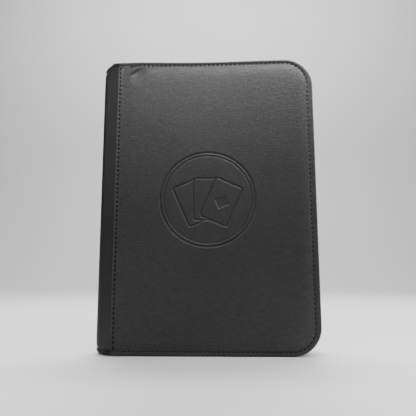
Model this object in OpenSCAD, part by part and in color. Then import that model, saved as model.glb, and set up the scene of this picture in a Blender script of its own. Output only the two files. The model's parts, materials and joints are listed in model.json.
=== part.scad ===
// Zip-up trading card binder, closed and standing on its bottom edge.
// Millimetres. X runs from the spine to the fore-edge, Y from the front cover to
// the back cover and Z upwards. The origin is the middle of the bottom edge.

/* [Body] */
// Height of the closed binder
cover_h = 355; // [345:1:365]
// Width from the spine to the fore-edge
body_w = 262; // [258:1:272]
// Thickness of the closed binder
body_t = 46; // [45:1:50]
// Radius of the two corners at the fore-edge
corner_r = 33; // [30:1:36]

/* [Cover layers] */
// Thickness of the leather of the covers and the spine
skin_t = 1.2; // [1:0.1:1.4]
// Thickness of the foam padding
foam_t = 2.8; // [2.2:0.1:3]
// Thickness of the stiff board
board_t = 1.8; // [1.5:0.1:2]
// Thickness of the lining
lining_t = 0.6; // [0.5:0.1:0.8]
// How far the flat rim lies below the padded face
rim_drop = 3; // [2.5:0.1:3.2]
// Width of the rim around the padded face
rim_w = 6.5; // [6:0.1:7]

/* [Spine] */
// Distance from the spine to the seam stitches
seam_in = 24.75; // [24:0.25:26]
// Width of the folded edge beside the seam stitches
fold_w = 3; // [2.5:0.1:3.5]
// Outer radius of the rounded spine
nose_r = 14; // [13:0.5:15]
// Thickness of the curved spine stiffener
stiffener_t = 1.5; // [1.2:0.1:1.6]
// Room left in the leather at each fold line
fold_gap = 0.7; // [0.7:0.1:0.9]

/* [Zip] */
// How far the zip wall is set in from the edge of the covers
wall_in = 6.4; // [6:0.1:6.8]
// Thickness of the zip tape
tape_t = 0.6; // [0.5:0.1:0.7]
// Half of the gap between the two rows of coil
coil_gap = 0.8; // [0.8:0.1:1]
// Width of one row of coil
coil_w = 2.6; // [2.4:0.1:2.8]
// Thickness of a row of coil
coil_t = 2.2; // [2:0.1:2.4]
// Length of the slider
slider_len = 13; // [12:0.5:14]
// Place of the parked slider along the top
slider_x = -95.5; // [-96:0.5:-94]
// Length of the pull from its hinge to its end
pull_len = 26; // [22:1:27]

/* [Pages] */
// Number of pages
page_count = 20; // [20:1:20]
// Distance from one page to the next
page_pitch = 1.45; // [1.4:0.01:1.46]
// Thickness of a page at its welds
page_t = 0.5; // [0.4:0.05:0.5]
// Pockets across and pockets up each page
pockets = 3; // [3:1:3]
// Width of a pocket
pocket_w = 69; // [68:0.5:69.5]
// Height of a pocket
pocket_h = 94; // [92:0.5:95]
// Width of a weld between pockets
weld_w = 2.5; // [2:0.5:3]

/* [Emblem] */
// Radius of the debossed ring
ring_r = 57.5; // [50:0.5:58]
// Width of a debossed line
line_w = 1.6; // [1.2:0.1:1.8]
// Depth of a debossed line
line_d = 0.6; // [0.4:0.1:0.7]

/* [Stitching] */
// Distance from one stitch to the next
stitch_pitch = 5.4; // [5:0.1:6]
// Length of a stitch
stitch_len = 3.6; // [3:0.1:4]
// Width of the thread
thread_w = 0.9; // [0.7:0.1:1]
// Distance from the edge of the cover to the edge stitches
stitch_in = 5.3; // [5:0.1:5.4]

/* [Hidden] */
$fn = 96;
thread_t = 0.35;
half_t = body_t / 2;
edge_x = body_w / 2;

// Layers of the front cover, as Y values from the outside in.
rim_y = -half_t + rim_drop;
foam_y = -half_t + skin_t;
board_y = foam_y + foam_t;
lining_y = board_y + board_t;
inner_y = lining_y + lining_t;

// Spine: the seam, the folded edge of the cover leather and the rounded nose.
seam_x = -edge_x + seam_in;
fold_x = seam_x - fold_w;
foam_x = seam_x + 3.75;
board_x = fold_x - 0.75;
nose_x = -edge_x + nose_r;
strip_start = [fold_x, foam_y];
strip_lap = 6.25;
to_nose = [nose_x, 0] - strip_start;
strip_turn = atan2(to_nose[1], to_nose[0]) + asin(nose_r / norm(to_nose));
strip_dir = [cos(strip_turn), sin(strip_turn)];
strip_in = [strip_dir[1], -strip_dir[0]];
strip_len = sqrt(norm(to_nose) * norm(to_nose) - nose_r * nose_r);
tangent = strip_start + strip_len * strip_dir;
fold_angle = atan2(tangent[1], tangent[0] - nose_x) + 360;
fold_r = nose_r - skin_t / 2;
fold_axis = [nose_x + fold_r * cos(fold_angle), fold_r * sin(fold_angle)];
fold_gap_deg = fold_gap / fold_r * 180 / PI;
core_r = nose_r - skin_t - stiffener_t;

// Page block.
crease_gap = 0.6;
margin_w = 7;
block_x = nose_x + 1;
crease_x = block_x + margin_w;
page_x = crease_x + crease_gap;
lead_in = 6;
page_w = lead_in + pockets * pocket_w + (pockets + 1) * weld_w;
page_h = pockets * pocket_h + (pockets + 1) * weld_w;
page_z = (cover_h - page_h) / 2;
recess = 0.15;
block_half = (page_count - 1) * page_pitch / 2 + page_t / 2;

// Zip.
tape_x = -edge_x + 24;
sewn_in = 2.5;
tape_flange = inner_y + tape_t;
tape_edge = -coil_gap - 0.1;
stop_len = 1.4;
play = 0.4;
plate_t = 0.9;
wall_z = cover_h - wall_in;
coil_top = wall_z + coil_t;
tape_low = wall_z - tape_t;
slider_half_w = coil_gap + coil_w + play + 1;
pin_z = coil_top + play + plate_t + 0.95;
pin_r = 0.55;
link_t = 1.2;
cap_t = 0.6;

// Emblem.
emblem_x = 2;
emblem_z = 180;
card_w = 36;
card_h = 52;
card_r = 4;
fan_step = 24;
fan_drop = 40;

function page_name(i) = str("page_", i < 10 ? "0" : "", i);
function page_y(i) = (i - (page_count + 1) / 2) * page_pitch;

// Outline of a cover seen from the front, set in from its edge, from x = left.
module outline(inset, left) {
    right = edge_x - inset;
    r = corner_r - inset;
    translate([left, inset]) square([right - r - left, cover_h - 2 * inset]);
    translate([left, corner_r]) square([right - left, cover_h - 2 * corner_r]);
    for (z = [corner_r, cover_h - corner_r])
        translate([right - r, z]) circle(r);
}

// Band that follows the three open sides between two insets.
module band(outer, inner, left) {
    difference() {
        outline(outer, left);
        outline(inner, left - 1);
    }
}

// Extrudes an outline in XZ from y0 to y1.
module across(y0, y1)
    translate([0, y1, 0]) rotate([90, 0, 0]) linear_extrude(y1 - y0) children();

// Draws a part of the front cover as it is, or mirrored as the back cover's.
module on_side(side) {
    if (side == "front") children();
    else mirror([0, 1, 0]) children();
}

module ring(r, w) {
    difference() {
        circle(r);
        circle(r - w);
    }
}

// A playing-card shape with round corners, on the fan's pivot.
module card(turn, inset) {
    w = card_w / 2 - inset;
    h = card_h / 2 - inset;
    r = card_r - inset / 2;
    rotate(turn) translate([0, fan_drop]) {
        square([2 * (w - r), 2 * h], center = true);
        square([2 * w, 2 * (h - r)], center = true);
        for (x = [-1, 1]) for (z = [-1, 1])
            translate([x * (w - r), z * (h - r)]) circle(r);
    }
}

// Debossed emblem: a double ring around a fan of three blank cards.
module emblem() {
    ring(ring_r, line_w);
    ring(ring_r - 4.5, line_w / 2);
    translate([0, -fan_drop]) {
        for (k = [1, 0, -1]) difference() {
            card(k * fan_step, 0);
            card(k * fan_step, line_w);
            if (k > -1) card((k - 1) * fan_step, 0);
            if (k > 0) card((k - 2) * fan_step, 0);
        }
        rotate(-fan_step) translate([0, fan_drop]) rotate(45) difference() {
            square(13, center = true);
            square(13 - 2 * line_w, center = true);
        }
    }
}

// Leather of a cover: a padded face, a flat rim and the folded edge at the seam,
// where the stitches lie in a groove.
module cover_skin() {
    groove_w = thread_w + 0.4;
    difference() {
        union() {
            across(rim_y, lining_y) outline(0, foam_x - skin_t);
            across(-half_t, rim_y) outline(rim_w, foam_x - skin_t);
            translate([fold_x, -half_t, 0]) cube([foam_x - fold_x, skin_t, cover_h]);
        }
        across(foam_y, board_y + 0.01) outline(rim_w + skin_t, foam_x);
        across(board_y, lining_y + 1) outline(rim_w + skin_t, board_x);
        translate([board_x, foam_y, -1]) cube([foam_x - board_x, half_t, cover_h + 2]);
        translate([seam_x - groove_w / 2, -half_t - 1, -1])
            cube([groove_w, 1 + thread_t, cover_h + 2]);
    }
}

module front_skin() color("#2c2d2f") difference() {
    cover_skin();
    across(-half_t - 1, -half_t + line_d) translate([emblem_x, emblem_z]) emblem();
}

module back_skin() color("#2c2d2f") on_side("back") cover_skin();

module foam(side) color("#8b8d90") on_side(side)
    across(foam_y, board_y) outline(rim_w + skin_t, foam_x);

module board(side) color("#6b5f50") on_side(side)
    across(board_y, lining_y) outline(rim_w + skin_t, board_x);

// Lining: flat over the cover, then down the inside of the hinge strip.
module lining(side) color("#1b1c1e") on_side(side) {
    leather_in = strip_start + skin_t * strip_in;
    bend = leather_in + (lining_y - leather_in[1]) / strip_dir[1] * strip_dir;
    tip = tangent + skin_t * strip_in - 2.5 * strip_dir;
    across(lining_y, inner_y) outline(sewn_in, bend[0]);
    translate([0, 0, sewn_in]) linear_extrude(cover_h - 2 * sewn_in)
        polygon([bend, tip, tip + lining_t * strip_in,
                 [bend[0] + lining_t * strip_in[0], inner_y], [bend[0] + 1, inner_y],
                 [bend[0] + 1, lining_y]]);
}

// Hinge strip: lapped and sewn under the cover leather, then sloping to the nose.
module hinge_leather(side) color("#262729") on_side(side) {
    lap_x = fold_x + strip_lap;
    end = tangent - fold_gap * strip_dir;
    corner = strip_start + skin_t * [strip_in[0] / (1 + strip_in[1]), 1];
    linear_extrude(cover_h)
        polygon([[lap_x, foam_y], strip_start, end, end + skin_t * strip_in, corner,
                 [lap_x, foam_y + skin_t]]);
}

// One stitch lying along X, on a face at y = 0 that looks towards -Y.
module stitch()
    translate([-stitch_len / 2, -thread_t, -thread_w / 2])
        cube([stitch_len, thread_t, thread_w]);

// Rows of stitches along the rim: top, bottom, fore-edge and the two corners.
module edge_stitching(side) color("#151516") on_side(side) {
    run_x = edge_x - corner_r - (foam_x + 1);
    run_z = cover_h - 2 * corner_r;
    arc_r = corner_r - stitch_in;
    nx = floor(run_x / stitch_pitch);
    nz = floor(run_z / stitch_pitch);
    na = round(arc_r * PI / 2 / stitch_pitch);
    for (z = [stitch_in, cover_h - stitch_in], i = [0:nx - 1])
        translate([edge_x - corner_r - (i + 0.5) * stitch_pitch, rim_y, z]) stitch();
    for (i = [0:nz - 1])
        translate([edge_x - stitch_in, rim_y,
                   cover_h / 2 + (i - (nz - 1) / 2) * stitch_pitch])
            rotate([0, 90, 0]) stitch();
    for (up = [0, 1], i = [0:na - 1]) {
        a = (i + 0.5) * 90 / na;
        translate([edge_x - corner_r, rim_y, up == 1 ? cover_h - corner_r : corner_r])
            rotate([0, up == 1 ? a : 180 - a, 0]) translate([0, 0, arc_r]) stitch();
    }
}

// One row of stitches through the folded edge, the hinge strip and the board.
module seam_stitching(side) color("#151516") on_side(side) {
    n = floor((cover_h - 2 * rim_w) / stitch_pitch);
    for (i = [0:n - 1])
        translate([seam_x, thread_t - half_t, cover_h / 2 + (i - (n - 1) / 2) * stitch_pitch])
            rotate([0, 90, 0]) stitch();
}

// Zip tape: an edge sewn to the cover's rim and a wall that carries the coil.
module tape() {
    across(inner_y, tape_flange) band(sewn_in, wall_in + tape_t, tape_x);
    across(tape_flange - 0.01, tape_edge) band(wall_in, wall_in + tape_t, tape_x);
}

// Space round the two corners at the fore-edge.
module corner_zones()
    for (z = [0, cover_h - corner_r])
        translate([edge_x - corner_r, -half_t, z]) cube([corner_r, half_t, corner_r]);

// The tape's three straight runs.
module tape_runs(side) color("#1d1e20") on_side(side) difference() {
    tape();
    corner_zones();
}

// The tape's two bends, which meet the runs end to end.
module tape_corners(side) color("#1d1e20") on_side(side) intersection() {
    tape();
    corner_zones();
}

// Row of coil on the tape's outer face. The front row ends beside the parked slider.
module zip_coil(side) color("#101011") on_side(side)
    difference() {
        across(-coil_gap - coil_w, -coil_gap)
            band(wall_in - coil_t, wall_in, tape_x + 2.6);
        if (side == "front")
            translate([tape_x, -half_t, wall_z - 1])
                cube([slider_x + slider_len / 2 + 0.5 - tape_x, half_t, 5]);
    }

// A stop at each end of a row of coil.
module zip_stops(side) color("#3a3b3d") on_side(side)
    for (z = [wall_in - coil_t, wall_z])
        translate([tape_x + 0.6, -coil_gap - coil_w, z]) cube([stop_len, coil_w, coil_t]);

// Turned sector of a tube around the spine's centre line.
module nose_shell(outer, thickness, trim, z0, z1)
    translate([nose_x, 0, z0])
        rotate([0, 0, 360 - fold_angle + trim])
            rotate_extrude(angle = 2 * (fold_angle - 180 - trim))
                translate([outer - thickness, 0]) square([thickness, z1 - z0]);

module spine_leather() color("#262729")
    nose_shell(nose_r, skin_t, fold_gap_deg, 0, cover_h);

module spine_stiffener() color("#3b3c3e")
    nose_shell(nose_r - skin_t, stiffener_t, 6, 6, cover_h - 6);

// Glue core that joins the page margins to the stiffener.
module binding_core() color("#706c62")
    translate([nose_x, 0, page_z]) intersection() {
        cylinder(r = core_r - 0.02, h = page_h);
        translate([-nose_r, -nose_r, 0]) cube([nose_r + block_x - nose_x, 2 * nose_r, page_h]);
    }

module page_margins() color("#141517")
    translate([block_x, -block_half, page_z]) cube([margin_w, 2 * block_half, page_h]);

module binding_stitching() color("#2a2b2d") {
    n = floor(page_h / (stitch_pitch + 1.6));
    for (side = ["front", "back"], i = [0:n - 1])
        on_side(side)
            translate([block_x + margin_w / 2, -block_half,
                       cover_h / 2 + (i - (n - 1) / 2) * (stitch_pitch + 1.6)])
                rotate([0, 90, 0]) stitch();
}

// Fabric that closes an end of the spine beside the zip.
module end_gusset(z0) color("#1d1e20")
    translate([0, 0, z0]) linear_extrude(cap_t) {
        side = -inner_y - 0.9;
        throat = tangent + (skin_t + lining_t + 0.9) * strip_in;
        polygon([[tape_x - 1.5, -side], [tape_x - 1.5, side],
                 [tape_x - 7.2, side], [throat[0], -throat[1]],
                 [nose_x - core_r + 1, 4], [nose_x - core_r + 1, -4], throat,
                 [tape_x - 7.2, -side]]);
    }

// Two plates joined by a post at the nose, with flanges and a bail for the pull.
module zip_slider() color("#4a4b4e") {
    x0 = slider_x - slider_len / 2;
    plate_z = coil_top + play;
    w = slider_half_w;
    flange_z = wall_z + play;
    bail_z = plate_z + plate_t;
    union() {
        translate([x0, -w, tape_low - play - plate_t]) cube([slider_len, 2 * w, plate_t]);
        translate([x0, -w, plate_z]) cube([slider_len, 2 * w, plate_t]);
        for (y = [-w, w - 1])
            translate([x0, y, flange_z]) cube([slider_len, 1, plate_z - flange_z + 0.1]);
        translate([x0, -0.5, tape_low - play - 0.1])
            cube([3.5, 1, plate_z - tape_low + play + 0.2]);
        for (x = [-4, 2.8])
            translate([slider_x + x, -1.2, bail_z - 0.1]) cube([1.2, 2.4, 2.1]);
        translate([slider_x - 4, -1.2, bail_z + 1.9]) cube([8, 2.4, 0.8]);
    }
}

// Metal link: a pin under the bail, two arms beside it and a tongue.
module pull_link() color("#4a4b4e")
    translate([slider_x, 0, pin_z]) union() {
        translate([0, 3.4, 0]) rotate([90, 0, 0]) cylinder(r = pin_r, h = 6.8);
        for (y = [-3.4, 1.8]) {
            translate([0, y, -link_t / 2]) cube([6, 1.6, link_t]);
            translate([0, y + 1.6, 0]) rotate([90, 0, 0]) cylinder(r = link_t / 2, h = 1.6);
        }
        translate([5, -3.4, -link_t / 2]) cube([6, 6.8, link_t]);
        translate([10.9, -2, -0.4]) cube([8, 4, 0.8]);
    }

// Moulded grip over the link's tongue.
module pull_grip() color("#1f2022")
    translate([slider_x, 0, pin_z]) difference() {
        union() {
            translate([11, -4.2, -1]) cube([pull_len - 11 - 4.2, 8.4, 2]);
            translate([pull_len - 4.2, 0, -1]) cylinder(r = 4.2, h = 2);
        }
        translate([10, -2, -0.4]) cube([8.9, 4, 0.8]);
    }

// Welded pocket page: a backing sheet with a raised grid of welds on both faces.
module page(i) color("#0e0f10")
    translate([page_x, page_y(i) - page_t / 2, page_z]) difference() {
        cube([page_w, page_t, page_h]);
        for (a = [0:pockets - 1], b = [0:pockets - 1], y = [-1, page_t - recess])
            translate([lead_in + weld_w + a * (pocket_w + weld_w), y,
                       weld_w + b * (pocket_h + weld_w)])
                cube([pocket_w, 1 + recess, pocket_h]);
    }

for (side = ["front", "back"]) {
    union() {
        if (side == "front") front_skin();
        else back_skin();
    }
    foam(side);
    board(side);
    lining(side);
    hinge_leather(side);
    edge_stitching(side);
    seam_stitching(side);
    tape_runs(side);
    tape_corners(side);
    zip_coil(side);
    zip_stops(side);
}
spine_leather();
spine_stiffener();
binding_core();
page_margins();
binding_stitching();
end_gusset(wall_z + play);  // top_end_gusset
end_gusset(wall_in - play - cap_t);  // bottom_end_gusset
zip_slider();
pull_link();
pull_grip();
for (i = [1:page_count])
    page(i);
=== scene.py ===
"""Looks of a zip-up trading card binder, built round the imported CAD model.

The model stands on Z = 0, with X from the spine to the fore-edge and Y from the front cover
to the back cover. Shapes are worked out in millimetres, and smooth_mesh() turns them to metres.
A cover's own points are (x, h, z), where h is the height above the binder's middle plane.
"""
import json
import math

import bmesh
import bpy
import numpy as np
from mathutils import Matrix, Vector

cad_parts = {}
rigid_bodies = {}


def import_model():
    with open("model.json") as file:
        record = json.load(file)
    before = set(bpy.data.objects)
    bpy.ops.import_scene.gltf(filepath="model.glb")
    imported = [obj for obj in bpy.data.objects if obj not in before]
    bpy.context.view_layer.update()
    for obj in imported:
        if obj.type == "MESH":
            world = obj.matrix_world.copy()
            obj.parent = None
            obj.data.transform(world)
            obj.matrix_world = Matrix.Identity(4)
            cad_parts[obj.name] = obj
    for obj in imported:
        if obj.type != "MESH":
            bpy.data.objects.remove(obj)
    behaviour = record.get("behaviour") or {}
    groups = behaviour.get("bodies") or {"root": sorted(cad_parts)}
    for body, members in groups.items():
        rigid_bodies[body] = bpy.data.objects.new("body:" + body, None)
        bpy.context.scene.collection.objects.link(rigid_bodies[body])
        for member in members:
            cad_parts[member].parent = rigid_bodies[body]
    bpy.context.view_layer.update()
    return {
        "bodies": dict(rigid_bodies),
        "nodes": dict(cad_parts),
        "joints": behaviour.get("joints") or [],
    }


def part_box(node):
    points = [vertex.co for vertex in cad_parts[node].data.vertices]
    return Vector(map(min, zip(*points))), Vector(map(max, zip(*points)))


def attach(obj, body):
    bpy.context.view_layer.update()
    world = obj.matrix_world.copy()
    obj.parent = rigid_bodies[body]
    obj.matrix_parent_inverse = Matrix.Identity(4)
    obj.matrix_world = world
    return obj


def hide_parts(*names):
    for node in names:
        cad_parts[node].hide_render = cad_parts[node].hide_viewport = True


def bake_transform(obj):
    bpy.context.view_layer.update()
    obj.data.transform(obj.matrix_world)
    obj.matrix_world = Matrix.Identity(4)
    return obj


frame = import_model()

MM = 0.001
SIDES = {"front": -1, "back": 1}


# ---- sizes from the frame

def span(node):
    """Lowest and highest corner of a CAD node, in millimetres."""
    low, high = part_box(node)
    return np.array(low) / MM, np.array(high) / MM


def axis_of(name):
    """A point on a joint's axis, in millimetres."""
    joint = next(j for j in frame["joints"] if j["name"] == name)
    return np.array(joint["pos_m"]) / MM


skin_low, skin_high = span("front_skin")
rim_high = span("front_edge_stitching")[1]
seam_low, seam_high = span("front_seam_stitching")
tape_low = span("front_tape_runs")[0]
coil_low, coil_high = span("back_zip_coil")
slider_low, slider_high = span("zip_slider")
margin_low, margin_high = span("page_margins")
page_low = span("page_01")[0]

COVER_H = skin_high[2]
EDGE_X = skin_high[0]
FOLD_X = skin_low[0]
HALF_T = -skin_low[1]
RIM_H = -rim_high[1]
LINING_H = -span("front_lining")[0][1]
LINING_T = 0.6
END_PINCH = 3.4  # how far the seam's flap is pressed down at its two ends
SEAM_IN = (seam_low[0] + seam_high[0]) / 2 - FOLD_X
STITCH_IN = 5.3
FORE_EXTRA = 2.1  # the stitches lie this much further in along the fore-edge
CORNER_R = 33.0
SKIN_T = 1.2
MIDDLE_Z = COVER_H / 2
BEND_X = EDGE_X - CORNER_R
PANEL_X = (FOLD_X + EDGE_X) / 2

# Spine, worked out as the part's own design does: a strip from the fold to a round nose.
NOSE_R = 14.0
NOSE_X = span("spine_leather")[0][0] + NOSE_R
STRIP_H = HALF_T - SKIN_T
NOSE_DROP = 3.0  # how much shorter the spine is at its middle
STRIP_ARCH = 1.2  # how far the hinge strip's top end stands up
SPINE_LAP = 5.6  # how far the strip runs on under the cover's fold
STRIP_REACH = math.hypot(NOSE_X - FOLD_X, STRIP_H)
STRIP_TURN = math.atan2(STRIP_H, NOSE_X - FOLD_X) + math.asin(NOSE_R / STRIP_REACH)
STRIP_LEN = math.sqrt(STRIP_REACH ** 2 - NOSE_R ** 2)
STRIP_ALONG = np.array([math.cos(STRIP_TURN), -math.sin(STRIP_TURN)])
STRIP_OUT = np.array([-math.sin(STRIP_TURN), -math.cos(STRIP_TURN)])

# Stitches.
STITCH_PITCH = 5.4
STITCH_LEN = 3.5
STITCH_SINK = 0.05
EDGE_ROW_START = 8.0  # from the fold to the first stitch of the top and bottom rows
THREAD_W = 1.75
ALONG_X, OUTWARD, UPWARD = (1, 0, 0), (0, 1, 0), (0, 0, 1)

# Emblem: a double ring round a fan of three blank cards.
EMBLEM_X = 2.0
EMBLEM_Z = 180.0
RING_R = 57.5
LINE_W = 2.3
LINE_D = 1.2
CARD_W, CARD_H, CARD_R = 36.0, 52.0, 4.0
FAN_STEP, FAN_DROP = 24.0, 40.0
DIAMOND = 13.0

# Crease beside the seam below the top edge.
WRINKLE_X = -87.0
WRINKLE_Z = 343.0

# Zip.
COIL_T = 2.2
WALL_Z = coil_high[2] - COIL_T
TAPE_IN, COIL_IN = 6.7, 5.3
TOOTH_PITCH = 1.45
HEM_IN = 2.5

# Pages.
PUFF = 0.34  # height of an empty pocket's film over its weld
POCKETS = 3
POCKET_W, POCKET_H = 69.0, 94.0
WELD_W = 2.5
LEAD_IN = 6.0
PAGE_NAMES = sorted(name for name in frame["bodies"] if name.startswith("page_"))
PAGE_PITCH = (span("page_02")[0] - page_low)[1]


# ---- small helpers

def smooth(low, high, t):
    """0 below low, 1 above high and a smooth step between."""
    t = np.clip((t - low) / (high - low), 0, 1)
    return t * t * (3 - 2 * t)


def hump(t, width):
    """A bell round t = 0, 1 high."""
    return np.exp(-(t / width) ** 2)


def rounded(t, radius):
    """Quarter circle: 0 at t = 0 and 1 from t = radius."""
    return np.sqrt(1 - (1 - np.clip(t / radius, 0, 1)) ** 2)


def samples(*stops):
    """Values from the first stop to the last. Each stop is (value, spacing up to the next)."""
    values = []
    for (start, spacing), (end, _) in zip(stops, stops[1:]):
        count = max(1, round(abs(end - start) / spacing))
        values.extend(np.linspace(start, end, count, endpoint=False))
    return np.array(values + [stops[-1][0]])


def on_side(side, shape):
    """A shape from cover points (x, h, z), put on its side of the middle plane."""
    points, faces = shape
    return np.array(points, float) * (1, SIDES[side], 1), faces


def added(name, data):
    """A new object in the scene."""
    obj = bpy.data.objects.new(name, data)
    bpy.context.scene.collection.objects.link(obj)
    return obj


def smooth_mesh(name, points, faces, *materials):
    """A smooth mesh from points in millimetres."""
    mesh = bpy.data.meshes.new(name)
    mesh.from_pydata((np.asarray(points) * MM).tolist(), [], faces)
    for material in materials:
        mesh.materials.append(material)
    mesh.shade_smooth()
    return mesh


def turned_out(mesh):
    """The same closed mesh, with its faces turned outwards."""
    turned = bmesh.new()
    turned.from_mesh(mesh)
    bmesh.ops.recalc_face_normals(turned, faces=turned.faces)
    turned.to_mesh(mesh)
    turned.free()
    return mesh


def shown(name, mesh, body=None, stands_for=()):
    """A piece with the body that it rides on and the CAD nodes that it replaces."""
    obj = added(name, mesh)
    if body:
        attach(obj, body)
    if stands_for:
        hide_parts(*stands_for)
    return obj


def piece(name, shape, material, body=None, stands_for=()):
    """A closed piece of one material from a shape, which is points in millimetres with faces."""
    return shown(name, turned_out(smooth_mesh(name, *shape, material)), body, stands_for)


def cover_piece(side, name, shape, material, slot, *nodes):
    """A piece that rides on one cover, in place of some of that cover's CAD nodes."""
    return piece(f"{side}_{name}", on_side(side, shape), material, f"{side}_cover",
                 [f"{side}_{node}" for node in nodes])


def skin_over(loops, endless=False):
    """Points and faces of a closed skin over a row of loops of points, which may run back into itself."""
    loops = np.asarray(loops)
    count, around = loops.shape[:2]
    faces = []
    for i in range(count if endless else count - 1):
        for j in range(around):
            k, after = (j + 1) % around, (i + 1) % count
            faces.append((i * around + j, i * around + k, after * around + k, after * around + j))
    if not endless:
        faces.append(tuple(reversed(range(around))))
        faces.append(tuple((count - 1) * around + j for j in range(around)))
    return loops.reshape(-1, 3), faces


def grid_quads(rows, columns):
    """Quads of a grid of points, by point number."""
    index = np.arange(rows * columns).reshape(rows, columns)
    return np.stack([index[:-1, :-1], index[1:, :-1], index[1:, 1:], index[:-1, 1:]], -1).reshape(-1, 4)


def slab(face, offset):
    """Closed sheet between a grid of points and the same grid moved by an offset."""
    face = np.asarray(face, float)
    count = face.shape[0] * face.shape[1]
    index = np.arange(count).reshape(face.shape[:2])
    quads = grid_quads(*index.shape)
    rim = np.concatenate([index[0, :-1], index[:-1, -1], index[-1, :0:-1], index[:0:-1, 0]])
    after = np.roll(rim, -1)
    sides = np.stack([rim, after, after + count, rim + count], -1)
    faces = np.concatenate([quads, quads[:, ::-1] + count, sides])
    points = np.concatenate([face.reshape(-1, 3), (face + offset).reshape(-1, 3)])
    return points, [tuple(f) for f in faces.tolist()]


def turns(count):
    """Angles spaced evenly round a circle."""
    return np.linspace(0, math.tau, count, endpoint=False)


def normals(path):
    """Unit normals of a line of points in a plane, to the left of its direction."""
    along = np.gradient(np.asarray(path, float), axis=0)
    return np.stack([-along[:, 1], along[:, 0]], -1) / np.hypot(*along.T)[:, None]


def squarish(half_a, half_b, count=20, power=0.45):
    """Points (a, b) round a rectangle with round corners."""
    angle = turns(count)
    c, s = np.cos(angle), np.sin(angle)
    return np.stack([half_a * np.sign(c) * np.abs(c) ** power, half_b * np.sign(s) * np.abs(s) ** power], -1)


def plate(outline, low_z, high_z, chamfer):
    """Plate with chamfered edges over a convex outline of (x, y)."""
    outline = np.asarray(outline, float)
    middle = (outline.max(0) + outline.min(0)) / 2
    half = (outline.max(0) - outline.min(0)) / 2
    loops = []
    for z, inset in ((low_z, chamfer), (low_z + chamfer, 0), (high_z - chamfer, 0), (high_z, chamfer)):
        ring = middle + (outline - middle) * (1 - inset / half)
        loops.append(np.column_stack([ring, np.full(len(ring), z)]))
    return skin_over(loops)


def joined(parts):
    """One list of points and faces from many."""
    points, faces, count = [], [], 0
    for part_points, part_faces in parts:
        points.append(np.asarray(part_points))
        faces.extend(tuple(i + count for i in face) for face in part_faces)
        count += len(part_points)
    return np.concatenate(points), faces


# ---- materials

class Finish:
    """A material built from nodes round one Principled shader."""

    def __init__(self, name, colour, roughness, **sockets):
        self.material = bpy.data.materials.new(name)
        self.material.use_nodes = True
        self.tree = self.material.node_tree
        self.shader = self.tree.nodes["Principled BSDF"]
        self.shader.inputs["Base Color"].default_value = (*colour, 1)
        self.shader.inputs["Roughness"].default_value = roughness
        for socket, value in sockets.items():
            self.shader.inputs[socket.replace("_", " ")].default_value = value
        self.place = self.add("ShaderNodeTexCoord").outputs["Object"]

    def add(self, kind, **settings):
        made = self.tree.nodes.new(kind)
        for key, value in settings.items():
            setattr(made, key, value)
        return made

    def feed(self, socket, value):
        if isinstance(value, bpy.types.NodeSocket):
            self.tree.links.new(value, socket)
        else:
            socket.default_value = value

    def moved(self, scale=(1, 1, 1), turn=(0, 0, 0)):
        """The object's own coordinates, turned and scaled."""
        made = self.add("ShaderNodeMapping")
        self.feed(made.inputs["Vector"], self.place)
        made.inputs["Scale"].default_value = scale
        made.inputs["Rotation"].default_value = turn
        return made.outputs[0]

    def noise(self, per_metre, detail=2.0, rough=0.5, turn=(0, 0, 0)):
        """Noise that varies that many times a metre along X, Y and Z."""
        made = self.add("ShaderNodeTexNoise")
        self.feed(made.inputs["Vector"], self.moved(per_metre, turn))
        made.inputs["Scale"].default_value = 1.0
        made.inputs["Detail"].default_value = detail
        made.inputs["Roughness"].default_value = rough
        return made.outputs["Fac"]

    def cells(self, per_metre):
        made = self.add("ShaderNodeTexVoronoi")
        self.feed(made.inputs["Vector"], self.moved(per_metre))
        made.inputs["Scale"].default_value = 1.0
        return made.outputs["Distance"]

    def ribs(self, per_metre, wobble=0.0, turn=(0, 0, 0)):
        """Sine ribs across the turned X axis."""
        made = self.add("ShaderNodeTexWave")
        self.feed(made.inputs["Vector"], self.moved(turn=turn))
        made.inputs["Scale"].default_value = per_metre * math.tau / 20
        made.inputs["Distortion"].default_value = wobble
        made.inputs["Detail Scale"].default_value = 2.0
        return made.outputs["Fac"]

    def maths(self, operation, a, b):
        made = self.add("ShaderNodeMath", operation=operation)
        self.feed(made.inputs[0], a)
        self.feed(made.inputs[1], b)
        return made.outputs[0]

    def blended(self, *terms):
        """Sum of (weight, socket) terms."""
        total = 0.0
        for weight, socket in terms:
            total = self.maths("ADD", total, self.maths("MULTIPLY", socket, weight))
        return total

    def ranged(self, factor, low, high, to_low=0.0, to_high=1.0):
        made = self.add("ShaderNodeMapRange")
        self.feed(made.inputs["Value"], factor)
        for key, value in (("From Min", low), ("From Max", high), ("To Min", to_low), ("To Max", to_high)):
            made.inputs[key].default_value = value
        return made.outputs[0]

    def bump(self, height, depth_mm, strength=1.0):
        made = self.add("ShaderNodeBump")
        self.feed(made.inputs["Height"], height)
        made.inputs["Distance"].default_value = depth_mm * MM
        made.inputs["Strength"].default_value = strength
        self.feed(self.shader.inputs["Normal"], made.outputs[0])

    def shade(self, factor, dark, light, low=0.35, high=0.65):
        """Base colour from dark to light as factor goes from low to high."""
        made = self.add("ShaderNodeMix", data_type="RGBA")
        colours = [socket for socket in made.inputs if socket.type == "RGBA"]
        colours[0].default_value = (*dark, 1)
        colours[1].default_value = (*light, 1)
        self.feed(made.inputs[0], self.ranged(factor, low, high))
        result = next(socket for socket in made.outputs if socket.type == "RGBA")
        self.feed(self.shader.inputs["Base Color"], result)

    def roughen(self, factor, smoothest, roughest, low=0.35, high=0.65):
        self.feed(self.shader.inputs["Roughness"], self.ranged(factor, low, high, smoothest, roughest))


def grey(value, warmth=0.0):
    """A near-neutral grey, slightly blue when warmth is below 0."""
    return (value * (1 + warmth), value, value * (1 - warmth))


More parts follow.
